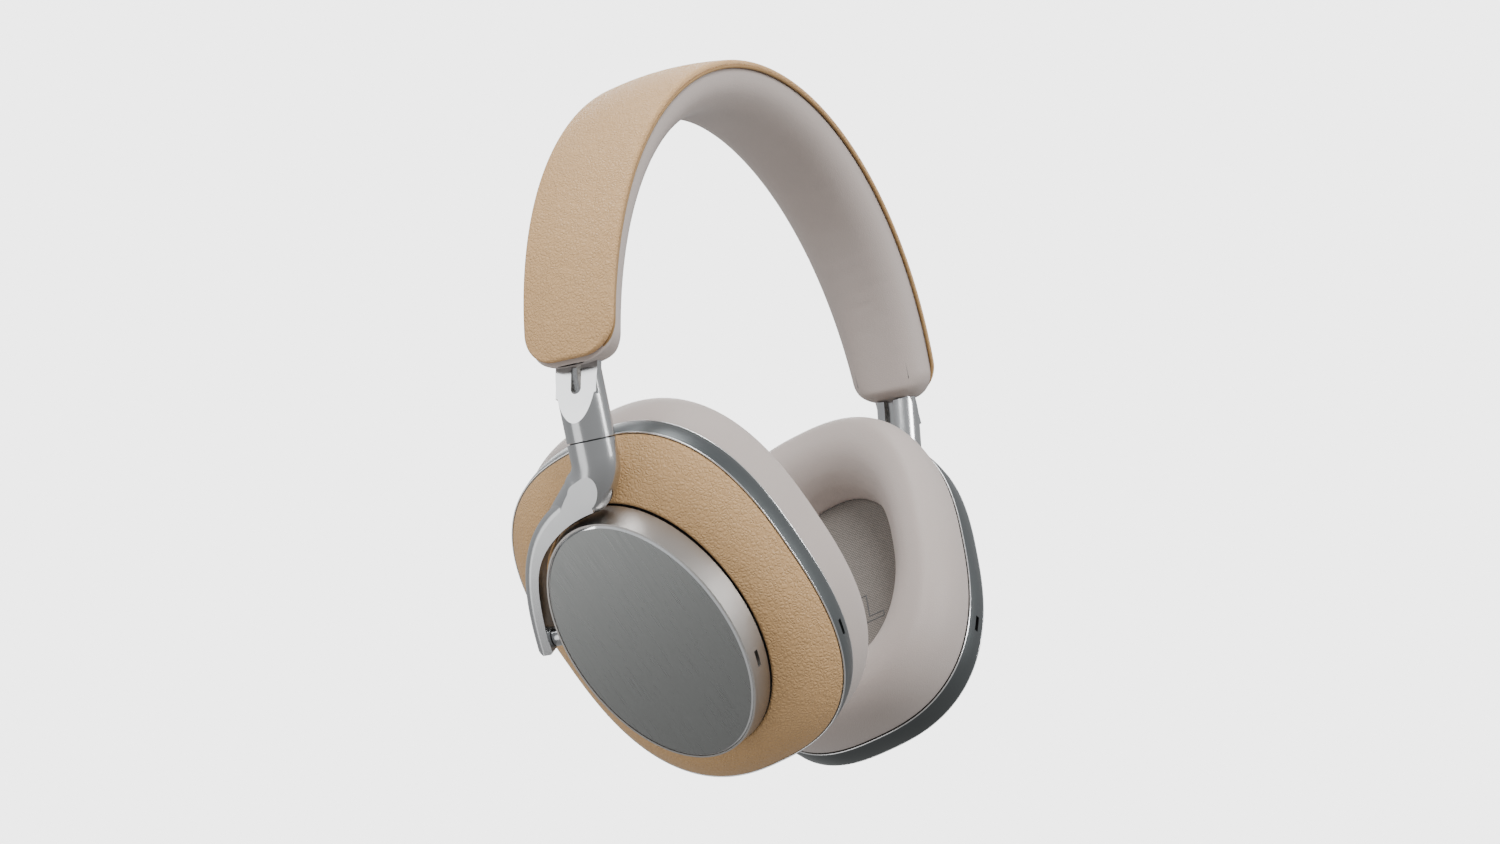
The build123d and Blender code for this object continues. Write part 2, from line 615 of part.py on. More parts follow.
save("cup_shell_left", shell - quick_hole)
save("cup_shell_right", mirror(right_shell, Plane.YZ))

board = RING * Pos(0, 0, BOARD_Z) * Box(36, 40, 1.2)
chips = RING * Pos(8, 6, BOARD_Z + 1.1) * Box(10, 10, 1.0)
chips = chips + RING * Pos(-8, -8, BOARD_Z + 1.1) * Box(7, 9, 1.0)
save("circuit_board", mirror(board + chips, Plane.YZ))
save("battery", RING * Pos(0, 0, BOARD_Z + 0.4) * Box(34, 44, 3.4))

total = sum(shape.volume for shape in saved.values())
print("nodes", len(saved), "solid volume", round(total))
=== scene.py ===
"""Over-ear headphones: the visible pieces, finishes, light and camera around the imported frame."""

import logging
import math
from collections.abc import Sequence
from dataclasses import dataclass, field
from enum import Enum

import bmesh
import bpy
import numpy as np
from mathutils import Matrix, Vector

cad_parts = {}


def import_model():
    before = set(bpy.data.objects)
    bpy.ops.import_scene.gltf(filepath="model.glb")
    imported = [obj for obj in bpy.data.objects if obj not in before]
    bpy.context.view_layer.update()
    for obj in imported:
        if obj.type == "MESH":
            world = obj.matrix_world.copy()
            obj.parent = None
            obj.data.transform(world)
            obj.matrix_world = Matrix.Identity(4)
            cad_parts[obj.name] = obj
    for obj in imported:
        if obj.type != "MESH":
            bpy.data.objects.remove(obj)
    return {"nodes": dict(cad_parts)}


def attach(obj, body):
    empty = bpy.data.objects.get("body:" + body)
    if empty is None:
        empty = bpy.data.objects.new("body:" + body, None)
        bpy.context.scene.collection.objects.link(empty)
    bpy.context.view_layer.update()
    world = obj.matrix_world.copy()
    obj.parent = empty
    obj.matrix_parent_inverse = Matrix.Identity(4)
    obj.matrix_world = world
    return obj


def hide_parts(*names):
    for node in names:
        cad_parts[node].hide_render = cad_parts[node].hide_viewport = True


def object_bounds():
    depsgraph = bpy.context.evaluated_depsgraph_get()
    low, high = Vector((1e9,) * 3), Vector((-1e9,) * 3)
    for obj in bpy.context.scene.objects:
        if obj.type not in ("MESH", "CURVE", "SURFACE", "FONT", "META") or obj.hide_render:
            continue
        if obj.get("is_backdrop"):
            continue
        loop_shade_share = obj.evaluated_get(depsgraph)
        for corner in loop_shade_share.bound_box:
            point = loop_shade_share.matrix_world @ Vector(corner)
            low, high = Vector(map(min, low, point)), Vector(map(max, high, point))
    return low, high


LOG = logging.getLogger("headphones")
Sockets = dict[str, bpy.types.NodeSocket]
MM = 0.001
SEED = 20


class Side(Enum):
    """Which ear a piece belongs to; the value is the sign of its X."""

    LEFT = 1
    RIGHT = -1

    @property
    def word(self) -> str:
        """Word used at the end of the piece names."""
        return self.name.lower()


# ---- numbers and places
def linear(hex_colour: str) -> tuple[float, float, float, float]:
    """Turn an sRGB hex colour into linear RGBA.

    Args:
        hex_colour: "#rrggbb".

    Returns:
        Linear red, green, blue and an alpha of 1.
    """
    parts = np.array([int(hex_colour[i:i + 2], 16) for i in (1, 3, 5)]) / 255.0
    low = parts / 12.92
    high = ((parts + 0.055) / 1.055) ** 2.4
    red, green, blue = np.where(parts <= 0.04045, low, high)
    return (float(red), float(green), float(blue), 1.0)


def turn_matrix(axis: Sequence[float], degrees: float) -> np.ndarray:
    """Rotation by so many degrees about an axis, by Rodrigues' formula.

    Args:
        axis: direction turned about.
        degrees: angle, right-handed.

    Returns:
        3 by 3 matrix.
    """
    unit = np.asarray(axis, float) / np.linalg.norm(axis)
    angle = math.radians(degrees)
    x, y, z = unit
    cross = np.array([[0, -z, y], [z, 0, -x], [-y, x, 0]])
    return np.eye(3) + math.sin(angle) * cross + (1 - math.cos(angle)) * cross @ cross


@dataclass(frozen=True)
class Place:
    """A local frame: an origin in millimetres and three axes as columns."""

    origin: np.ndarray
    axes: np.ndarray

    def move(self, x: float, y: float, z: float) -> "Place":
        """Shift along the frame's own axes."""
        return Place(self.origin + self.axes @ np.array([x, y, z], float), self.axes)

    def turn(self, axis: Sequence[float], degrees: float) -> "Place":
        """Turn about one of the frame's own directions."""
        return Place(self.origin, self.axes @ turn_matrix(axis, degrees))

    def points(self, local: np.ndarray, side: Side = Side.LEFT) -> np.ndarray:
        """World positions of local points, mirrored across x = 0 for the right.

        Args:
            local: array ending in an axis of three, in millimetres.
            side: ear the piece is for.

        Returns:
            Array of the same shape, in metres.
        """
        world = (local @ self.axes.T + self.origin) * MM
        world[..., 0] *= side.value
        return world


@dataclass(frozen=True)
class Layout:
    """Driving sizes of the frame in millimetres, and the places they lead to."""

    band_radius: float = 96.0
    band_crown: float = 1.5
    band_depth: float = 12.5
    half_top: float = 15.8
    half_end: float = 12.9
    cover: float = 2.0
    end_height: float = 9.1
    end_corner: float = 9.0
    cushion_overhang: float = 1.0
    swivel_x: float = 89.5
    swivel_drop: float = 11.15
    swivel_lean: float = 8.6
    swivel_rest: float = 4.5
    barrel: float = 6.25
    slide_lean: float = 16.0
    mouth: float = 20.0
    facet: float = 6.1
    pivot_drop: float = 48.1
    pivot_inset: float = 11.6
    tilt_rest: float = 18.6
    rake: float = 16.1
    plate_drop: float = 4.9
    plate_x: float = 23.0
    plate_y: float = 34.9
    plate_z: float = 3.5
    housing_depth: float = 8.5
    housing_flare: float = 1.85
    ring_x: float = 37.7
    ring_y: float = 50.0
    ring_power: float = 2.58
    ring_forward: float = 1.0
    ring_setback: float = 19.15
    ring_depth: float = 7.4
    opening_x: float = 20.5
    opening_y: float = 30.5
    opening_power: float = 2.3
    pad_plate: float = 1.2
    liner: float = 0.6
    fit: float = 0.1

    @property
    def centre_z(self) -> float:
        """Height of the band's own centre."""
        return -(self.band_radius - self.band_depth)

    @property
    def ring_z(self) -> float:
        """Leather side of the ring, along the cup's axis."""
        return self.plate_z - self.ring_setback

    @property
    def pad_z(self) -> float:
        """Pad side of the ring, along the cup's axis."""
        return self.ring_z - self.ring_depth

    @property
    def side(self) -> Place:
        """Swivel joint: x to the rear, y up the swivel axis, z outboard."""
        lean = math.radians(self.swivel_lean)
        up = np.array([math.sin(lean), 0, math.cos(lean)])
        out = np.array([math.cos(lean), 0, -math.sin(lean)])
        origin = np.array([self.swivel_x, 0, self.centre_z - self.swivel_drop])
        return Place(origin, np.column_stack([(0, 1, 0), up, out]))

    @property
    def cup(self) -> Place:
        """Tilt axis: x to the rear, y up, z outboard."""
        yoke = self.side.turn((0, 1, 0), -self.swivel_rest)
        return yoke.move(0, -self.pivot_drop, -self.pivot_inset).turn((1, 0, 0), self.tilt_rest)

    @property
    def oval(self) -> Place:
        """Middle of the face plate's ovals."""
        return self.cup.move(0, -self.plate_drop, 0).turn((0, 0, 1), -self.rake)

    @property
    def ring(self) -> Place:
        """Middle of the ring's ovals."""
        return self.oval.move(-self.ring_forward, 0, 0)

    @property
    def strip(self) -> Place:
        """Outer face of the sliding strip where it leaves the band."""
        angle = math.radians(self.slide_lean + self.swivel_lean)
        drop = (self.mouth - self.facet) * math.tan(angle)
        base = self.side.move(0, self.mouth, self.barrel - 0.5 - drop).origin
        lean = math.radians(self.slide_lean)
        up = np.array([-math.sin(lean), 0, math.cos(lean)])
        out = np.array([math.cos(lean), 0, math.sin(lean)])
        return Place(np.array([base[0], 0, base[2]]), np.column_stack([(0, 1, 0), up, out]))


LAYOUT = Layout()


# ---- surfaces
def grid_piece(name: str, points: np.ndarray, wrap_rows: bool, wrap_cols: bool) -> bpy.types.Object:
    """Make a mesh from a grid of points, weld its poles and face it outwards.

    Args:
        name: object name.
        points: rows by columns by three, in metres.
        wrap_rows: join the last row to the first.
        wrap_cols: join the last column to the first.

    Returns:
        The new object, at the origin, smooth shaded.
    """
    rows, cols = points.shape[:2]
    index = np.arange(rows * cols).reshape(rows, cols)
    if wrap_rows:
        index = np.vstack([index, index[:1]])
    if wrap_cols:
        index = np.hstack([index, index[:, :1]])
    corners = (index[:-1, :-1], index[1:, :-1], index[1:, 1:], index[:-1, 1:])
    quads = np.stack(corners, axis=-1).reshape(-1, 4)
    mesh = bpy.data.meshes.new(name)
    mesh.vertices.add(rows * cols)
    mesh.vertices.foreach_set("co", points.reshape(-1).astype(np.float32))
    mesh.loops.add(quads.size)
    mesh.loops.foreach_set("vertex_index", quads.reshape(-1).astype(np.int32))
    mesh.polygons.add(len(quads))
    mesh.polygons.foreach_set("loop_start", (np.arange(len(quads)) * 4).astype(np.int32))
    mesh.polygons.foreach_set("loop_total", np.full(len(quads), 4, np.int32))
    mesh.update(calc_edges=True)
    work = bmesh.new()
    work.from_mesh(mesh)
    bmesh.ops.remove_doubles(work, verts=work.verts, dist=1e-6)
    bmesh.ops.recalc_face_normals(work, faces=work.faces)
    work.to_mesh(mesh)
    work.free()
    mesh.polygons.foreach_set("use_smooth", np.ones(len(mesh.polygons), bool))
    mesh.validate()
    piece = bpy.data.objects.new(name, mesh)
    bpy.context.scene.collection.objects.link(piece)
    return piece


def oval_reach(half_x: np.ndarray, half_y: np.ndarray, power: np.ndarray, turn: np.ndarray) -> np.ndarray:
    """Points of a superellipse by polar angle.

    The radius is the inverse root of the sum of |cos/half_x| and |sin/half_y|, each to the power.

    Args:
        half_x: half width.
        half_y: half height.
        power: 2 is an ellipse, more is squarer.
        turn: polar angles.

    Returns:
        Array ending in x and y.
    """
    cos, sin = np.cos(turn), np.sin(turn)
    total = np.abs(cos / half_x) ** power + np.abs(sin / half_y) ** power
    radius = total ** (-1 / power)
    return np.stack([radius * cos, radius * sin], axis=-1)


def closed_curve(knots: Sequence[tuple[float, float]], count: int) -> np.ndarray:
    """Smooth closed curve through knots: a periodic Catmull-Rom spline.

    Args:
        knots: points in order round the loop.
        count: samples between two knots.

    Returns:
        Array of points, two columns.
    """
    p = np.asarray(knots, float)
    a, b, c, d = np.roll(p, 1, 0), p, np.roll(p, -1, 0), np.roll(p, -2, 0)
    t = (np.arange(count) / count)[None, :, None]
    a, b, c, d = (q[:, None, :] for q in (a, b, c, d))
    cubic = 2 * b + (c - a) * t + (2 * a - 5 * b + 4 * c - d) * t**2 + (3 * b - a - 3 * c + d) * t**3
    return (cubic / 2).reshape(-1, 2)


def tube(
    path: np.ndarray, radius: float | np.ndarray, around: int, closed: bool, up: Sequence[float]
) -> np.ndarray:
    """Round tube carried along a path; its ends close in two shrinking rows.

    Args:
        path: points in millimetres.
        radius: one radius, or rows by columns of radii.
        around: points round the section.
        closed: the path is a loop.
        up: direction never along the path.

    Returns:
        Rows by columns by three.
    """
    ahead = np.roll(path, -1, 0) - np.roll(path, 1, 0)
    if not closed:
        ahead[0], ahead[-1] = path[1] - path[0], path[-1] - path[-2]
    ahead /= np.linalg.norm(ahead, axis=1, keepdims=True)
    across = np.cross(ahead, np.asarray(up, float))
    across /= np.linalg.norm(across, axis=1, keepdims=True)
    over = np.cross(across, ahead)
    turn = np.linspace(0, 2 * math.pi, around, endpoint=False)
    size = np.broadcast_to(np.asarray(radius, float), (len(path), around))[..., None]
    ring = across[:, None] * np.cos(turn)[None, :, None] + over[:, None] * np.sin(turn)[None, :, None]
    body = path[:, None] + ring * size
    if closed:
        return body
    ends = [np.broadcast_to(path[i], (1, around, 3)) for i in (0, -1)]
    return np.concatenate([ends[0], body, ends[1]])


# ---- finishes
def add_node(tree: bpy.types.NodeTree, kind: str, settings: dict | None = None, links: dict | None = None):
    """Add one shader node with its settings and its links.

    Args:
        tree: node tree.
        kind: node type, less its leading "ShaderNode".
        settings: attributes by name, or input values by socket name or number.
        links: output sockets by the input socket name or number that they feed.

    Returns:
        The new node.
    """
    node = tree.nodes.new("ShaderNode" + kind)
    for key, value in (settings or {}).items():
        if isinstance(key, str) and hasattr(node, key):
            setattr(node, key, value)
        else:
            node.inputs[key].default_value = value
    for key, socket in (links or {}).items():
        tree.links.new(socket, node.inputs[key])
    return node


def local_vector(tree: bpy.types.NodeTree, place: Place, side: Side, scale: Sequence[float]):
    """Object coordinates seen in a piece's own frame and stretched.

    Each part is the dot product of the position and one axis, less the origin's share.

    Args:
        tree: node tree.
        place: the piece's frame.
        side: ear the piece is for.
        scale: stretch along each axis, per metre.

    Returns:
        The vector socket.
    """
    position = add_node(tree, "TexCoord").outputs["Object"]
    flip = np.array([side.value, 1, 1])
    parts = {}
    for i in range(3):
        axis = tuple(place.axes[:, i] * flip)
        offset = float(place.axes[:, i] @ place.origin) * MM
        dot = add_node(tree, "VectorMath", {"operation": "DOT_PRODUCT", 1: axis}, {0: position})
        shifted = add_node(tree, "Math", {"operation": "SUBTRACT", 1: offset}, {0: dot.outputs["Value"]})
        scaled = add_node(tree, "Math", {"operation": "MULTIPLY", 1: scale[i]}, {0: shifted.outputs[0]})
        parts[i] = scaled.outputs[0]
    return add_node(tree, "CombineXYZ", {}, parts).outputs["Vector"]


@dataclass(frozen=True)
class Finish:
    """A finish: what the material is, how its surface was made, and what that gives the eye."""

    name: str
    colour: str
    shade: str
    slot: str
    roughness: float = 0.5
    metallic: float = 0.0
    grain_mm: float = 1.0
    depth_mm: float = 0.02
    sheen: float = 0.0
    specular: float = 0.5
    blotch_grains: float = 9.0

    @property
    def colours(self) -> dict:
        """Settings of a mix from the colour to the shade."""
        return {"data_type": "RGBA", 6: linear(self.colour), 7: linear(self.shade)}

    @property
    def relief(self) -> dict:
        """Settings of a bump as deep as the finish."""
        return {"Distance": self.depth_mm * MM}

    def build(self, tree: bpy.types.NodeTree) -> Sockets:
        """Fine cast or moulded skin: soft blotches of colour, gloss and a slight tooth.

        Args:
            tree: the material's node tree.

        Returns:
            Output sockets by the shader socket that they feed.
        """
        position = add_node(tree, "TexCoord").outputs["Object"]
        wide, fine = (
            add_node(
                tree, "TexNoise", {"Scale": 1 / (size * MM), "Detail": detail}, {"Vector": position}
            ).outputs["Fac"]
            for size, detail in ((self.grain_mm * self.blotch_grains, 3.0), (self.grain_mm, 4.0))
        )
        gloss = {"To Min": self.roughness * 0.85, "To Max": self.roughness * 1.15}
        return {
            "Base Color": add_node(tree, "Mix", self.colours, {0: wide}).outputs[2],
            "Roughness": add_node(tree, "MapRange", gloss, {"Value": fine}).outputs["Result"],
            "Normal": add_node(tree, "Bump", self.relief, {"Height": fine}).outputs["Normal"],
        }

    def material(self, tag: str = "") -> bpy.types.Material:
        """Make the material, or find it if it was made before.

        Args:
            tag: ending of the material's name, for a finish made once a side.

        Returns:
            The material.
        """
        title = self.name + tag
        found = bpy.data.materials.get(title)
        if found:
            return found
        made = bpy.data.materials.new(title)
        made.use_nodes = True
        tree = made.node_tree
        tree.nodes.clear()
        even = {"Metallic": self.metallic, "Sheen Weight": self.sheen, "Specular IOR Level": self.specular}
        shader = add_node(tree, "BsdfPrincipled", even, self.build(tree))
        add_node(tree, "OutputMaterial", {}, {"Surface": shader.outputs["BSDF"]})
        return made

    def dress(self, piece: bpy.types.Object, tag: str = "") -> None:
        """Give a piece this finish in place of whatever it has."""
        piece.data.materials.clear()
        piece.data.materials.append(self.material(tag))


@dataclass(frozen=True)
class Leather(Finish):
    """Tanned, embossed cow leather: pebbled cells with creases between, satin protein topcoat."""

    crease_mm: float = 3.0
    sheen: float = 0.03
    specular: float = 0.34
    cloud_mm: float = 28.0
    pebble_edge: float = 0.32
    groove_edge: float = 0.12
    # share of painted shade laid into the grooves
    groove_shade_share: float = 0.55
    pull_depth: float = 2.2

    def build(self, tree: bpy.types.NodeTree) -> Sockets:
        """Pebbles are Voronoi cells warped by noise; pulls are wider soft noise; grooves are darkened with
        painted shade.
        """
        position = add_node(tree, "TexCoord").outputs["Object"]
        crease = {"Scale": 1 / (self.crease_mm * MM)}
        warp = add_node(tree, "TexNoise", crease, {"Vector": position}).outputs["Color"]
        reach = {"operation": "MULTIPLY_ADD", 1: (self.grain_mm * MM,) * 3}
        push = add_node(tree, "VectorMath", reach, {0: warp, 2: position}).outputs["Vector"]
        cell = {"feature": "DISTANCE_TO_EDGE", "Scale": 1 / (self.grain_mm * MM)}
        cells = add_node(tree, "TexVoronoi", cell, {"Vector": push}).outputs["Distance"]
        pebble = add_node(tree, "MapRange", {"From Max": self.pebble_edge}, {"Value": cells}).outputs["Result"]
        pulls = add_node(tree, "TexNoise", crease | {"Detail": 3.0}, {"Vector": position}).outputs["Fac"]
        cloud = {"Scale": 1 / (self.cloud_mm * MM)}
        wide = add_node(tree, "TexNoise", cloud, {"Vector": position}).outputs["Fac"]
        tint = add_node(tree, "Mix", self.colours, {0: wide}).outputs[2]
        # painted shade: the grooves between the pebbles are darkened towards the shade colour
        valley = {"From Max": self.groove_edge, "To Min": self.groove_shade_share, "To Max": 0.0}
        painted_groove_shade = add_node(tree, "MapRange", valley, {"Value": cells}).outputs["Result"]
        groove_shade_mix = {"data_type": "RGBA", 7: linear(self.shade)}
        gloss = {"To Min": self.roughness * 1.18, "To Max": self.roughness * 0.92}
        wave = {"Distance": self.depth_mm * self.pull_depth * MM}
        soft = add_node(tree, "Bump", wave, {"Height": pulls}).outputs["Normal"]
        raised = add_node(tree, "Bump", self.relief, {"Height": pebble, "Normal": soft})
        return {
            "Base Color": add_node(tree, "Mix", groove_shade_mix, {0: painted_groove_shade, 6: tint}).outputs[2],
            "Roughness": add_node(tree, "MapRange", gloss, {"Value": pebble}).outputs["Result"],
            "Normal": raised.outputs["Normal"],
        }


@dataclass(frozen=True)
class Metal(Finish):
    """Machined aluminium or steel: clear reflections broken by blasting or fine polishing marks."""

    handling_mm: float = 14.0

    def build(self, tree: bpy.types.NodeTree) -> Sockets:
        """The gloss varies with the blast grain and with handling over centimetres."""
        position = add_node(tree, "TexCoord").outputs["Object"]
        fine, wide = (
            add_node(
                tree, "TexNoise", {"Scale": 1 / (size * MM), "Detail": detail}, {"Vector": position}
            ).outputs["Fac"]
            for size, detail in ((self.grain_mm, 2.0), (self.handling_mm, 3.0))
        )
        both = add_node(tree, "Math", {"operation": "ADD"}, {0: fine, 1: wide}).outputs[0]
        ends = {"To Min": self.roughness * 0.8, "To Max": self.roughness * 1.25}
        gloss = ends | {"From Min": 0.6, "From Max": 1.4}
        return {
            "Base Color": add_node(tree, "Mix", self.colours, {0: wide}).outputs[2],
            "Roughness": add_node(tree, "MapRange", gloss, {"Value": both}).outputs["Result"],
            "Normal": add_node(tree, "Bump", self.relief, {"Height": fine}).outputs["Normal"],
        }


@dataclass(frozen=True)
class BrushedPlate(Finish):
    """Anodised aluminium brushed along its length, with a diamond-cut bright edge."""

    place: Place = field(default_factory=lambda: LAYOUT.oval)
    side: Side = Side.LEFT
    edge: str = "#f4f5f6"
    edge_gloss: float = 0.1
    edge_low: float = 0.06
    edge_high: float = 0.03
    scratch_mm: tuple[float, float, float] = (0.3, 16.0, 4.0)

    def build(self, tree: bpy.types.NodeTree) -> Sockets:
        """Scratches are noise stretched along the brushing; below the face the cut edge is bright."""
        scratch = local_vector(tree, self.place, self.side, [1 / (size * MM) for size in self.scratch_mm])
        streaks = {"Scale": 1.0, "Detail": 3.0, "Roughness": 0.6}
        lines = add_node(tree, "TexNoise", streaks, {"Vector": scratch}).outputs["Fac"]
        level = local_vector(tree, self.place, self.side, (1.0, 1.0, 1 / MM))
        height = add_node(tree, "SeparateXYZ", {}, {0: level}).outputs["Z"]
        face = {"From Min": LAYOUT.plate_z - self.edge_low, "From Max": LAYOUT.plate_z - self.edge_high}
        flat = add_node(tree, "MapRange", face, {"Value": height}).outputs["Result"]
        spread = {"From Min": 0.3, "From Max": 0.7}
        share = add_node(tree, "MapRange", spread, {"Value": lines}).outputs["Result"]
        tint = add_node(tree, "Mix", self.colours, {0: share}).outputs[2]
        bright = {"data_type": "RGBA", 6: linear(self.edge)}
        gloss = spread | {"To Min": self.roughness * 0.85, "To Max": self.roughness * 1.2}
        brushed = add_node(tree, "MapRange", gloss, {"Value": lines}).outputs["Result"]
        cut = {"data_type": "FLOAT", 2: self.edge_gloss}
        return {
            "Base Color": add_node(tree, "Mix", bright, {0: flat, 7: tint}).outputs[2],
            "Roughness": add_node(tree, "Mix", cut, {0: flat, 3: brushed}).outputs[0],
            "Normal": add_node(tree, "Bump", self.relief, {"Height": lines}).outputs["Normal"],
        }


@dataclass(frozen=True)
class KnitCloth(Finish):
    """Warp-knitted acoustic cloth: rows of small loops, dull and slightly fuzzy."""

    sheen: float = 0.35
    place: Place = field(default_factory=lambda: LAYOUT.ring)
    side: Side = Side.LEFT
    fuzz_mm: float = 0.5

    def build(self, tree: bpy.types.NodeTree) -> Sockets:
        """Loops are the product of two sines across the cloth; fuzz is fine noise; the hollows between loops
        get painted shade.
        """
        pitch = 2 * math.pi / (self.grain_mm * MM)
        across = local_vector(tree, self.place, self.side, (pitch, pitch, pitch))
        split = add_node(tree, "SeparateXYZ", {}, {0: across})
        waves = [add_node(tree, "Math", {"operation": "SINE"}, {0: split.outputs[name]}) for name in ("X", "Y")]
        crossed = {0: waves[0].outputs[0], 1: waves[1].outputs[0]}
        loops = add_node(tree, "Math", {"operation": "MULTIPLY"}, crossed).outputs[0]
        position = add_node(tree, "TexCoord").outputs["Object"]
        fibre = {"Scale": 1 / (self.fuzz_mm * MM), "Detail": 4.0}
        fuzz = add_node(tree, "TexNoise", fibre, {"Vector": position}).outputs["Fac"]
        added = {"operation": "MULTIPLY_ADD", 1: 0.5}
        height = add_node(tree, "Math", added, {0: loops, 2: fuzz}).outputs[0]
        # painted shade: the low parts between the loops are darkened towards the shade colour
        spread = {"From Min": 0.1, "From Max": 0.95}
        loop_shade_share = add_node(tree, "MapRange", spread, {"Value": height}).outputs["Result"]
        colours = {"data_type": "RGBA", 6: linear(self.shade), 7: linear(self.colour)}
        gloss = {"To Min": 0.8, "To Max": 0.98}
        return {
            "Base Color": add_node(tree, "Mix", colours, {0: loop_shade_share}).outputs[2],
            "Roughness": add_node(tree, "MapRange", gloss, {"Value": fuzz}).outputs["Result"],
            "Normal": add_node(tree, "Bump", self.relief, {"Height": height}).outputs["Normal"],
        }


TAN_LEATHER = Leather(
    "tan_embossed_leather", "#d2aa7a", "#c79e6d", "tan_leather",
    roughness=0.46, grain_mm=1.0, depth_mm=0.16, crease_mm=2.6,
)
EDGE_PAINT = Leather(
    "painted_leather_edge", "#a8875a", "#8f6f47", "tan_leather",
    roughness=0.45, grain_mm=0.5, depth_mm=0.01, crease_mm=2.0, sheen=0.0,
)
GREY_LEATHER = Leather(
    "soft_grey_leather", "#c1b5af", "#b8aca5", "grey_leather",
    roughness=0.46, grain_mm=0.5, depth_mm=0.022, crease_mm=1.8, sheen=0.12,
)
SATIN_ALUMINIUM = Metal(
    "polished_satin_aluminium", "#bfc0c1", "#b5b6b7", "satin_aluminium",
    roughness=0.2, metallic=1.0, grain_mm=0.25, depth_mm=0.0006,
)
HOUSING_ALUMINIUM = Metal(
    "blasted_anodised_aluminium", "#b1aeab", "#a6a3a0", "satin_aluminium",
    roughness=0.34, metallic=1.0, grain_mm=0.22, depth_mm=0.0015,
)
RING_ALUMINIUM = Metal(
    "dark_anodised_aluminium", "#6a6e6f", "#616566", "dark_aluminium",
    roughness=0.36, metallic=1.0, grain_mm=0.22, depth_mm=0.0015,
)
BRIGHT_CUT = Metal(
    "diamond_cut_aluminium", "#e6e7e8", "#dcddde", "dark_aluminium",
    roughness=0.2, metallic=1.0, grain_mm=0.5, depth_mm=0.0002,
)
STEEL = Metal(
    "polished_stainless_steel", "#c4c5c7", "#b3b4b6", "steel",
    roughness=0.18, metallic=1.0, grain_mm=0.4, depth_mm=0.0004,
)
SPRING_STEEL = Metal(
    "rolled_spring_steel", "#94979a", "#83868a", "spring_steel",
    roughness=0.35, metallic=1.0, grain_mm=0.6, depth_mm=0.001,
)
BLACK_ABS = Finish(
    "spark_textured_black_abs", "#2b2b2d", "#232325", "black_polymer",
    roughness=0.55, grain_mm=0.3, depth_mm=0.008,
)
GREY_ACETAL = Finish(
    "moulded_grey_acetal", "#5c5d5f", "#505153", "black_polymer",
    roughness=0.42, grain_mm=0.5, depth_mm=0.003,
)
BRAID = Finish(
    "braided_polyester_yarn", "#cbc8c3", "#a19d97", "braid",
    roughness=0.7, grain_mm=0.18, depth_mm=0.01,
)
PAPER = Finish(
    "pressed_paper_pulp", "#3c3a37", "#2f2d2b", "paper_cone",
    roughness=0.85, grain_mm=0.6, depth_mm=0.02,
)
SOLDER_MASK = Finish(
    "green_solder_mask", "#24503a", "#1c412e", "circuit",
    roughness=0.3, grain_mm=1.2, depth_mm=0.01,
)
CELL_WRAP = Finish(
    "heat_shrunk_vinyl", "#3d4650", "#343c45", "cell_wrap",
    roughness=0.28, grain_mm=2.0, depth_mm=0.02,
)

CAD_FINISHES: dict[str, Finish] = {
    stem: finish
    for finish, stems in (
        (SPRING_STEEL, "headband_frame"),
        (GREY_ACETAL, "end_guide"),
        (STEEL, "guide_screws swivel_pin tilt_pin pivot_cap driver_magnet cup_screws usb_socket"),
        (SATIN_ALUMINIUM, "slider_arm yoke_arm pivot_boss"),
        (HOUSING_ALUMINIUM, "plate_housing"),
        (RING_ALUMINIUM, "trim_ring power_switch play_button quick_button volume_up_button volume_down_button"),
        (BLACK_ABS, "swivel_washer cup_shell baffle driver_basket pad_plate"),
        (PAPER, "driver_diaphragm"),
        (SOLDER_MASK, "circuit_board"),
        (CELL_WRAP, "battery"),
    )
    for stem in stems.split()
}


def settle(
    piece: bpy.types.Object, body: str, finish: Finish, node: str | None = None, tag: str = ""
) -> bpy.types.Object:
    """Dress a new piece, set it on its body, and hide the CAD node that it replaces.

    Args:
        piece: new object.
        body: CAD body that it rides on.
        finish: its finish.
        node: CAD node that it replaces, if any.
        tag: ending of the material's name, for a finish made once a side.

    Returns:
        The same piece.
    """
    finish.dress(piece, tag)
    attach(piece, body)
    if node:
        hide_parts(node)
    LOG.info("%s rides on %s, %d faces", piece.name, body, len(piece.data.polygons))
    return piece


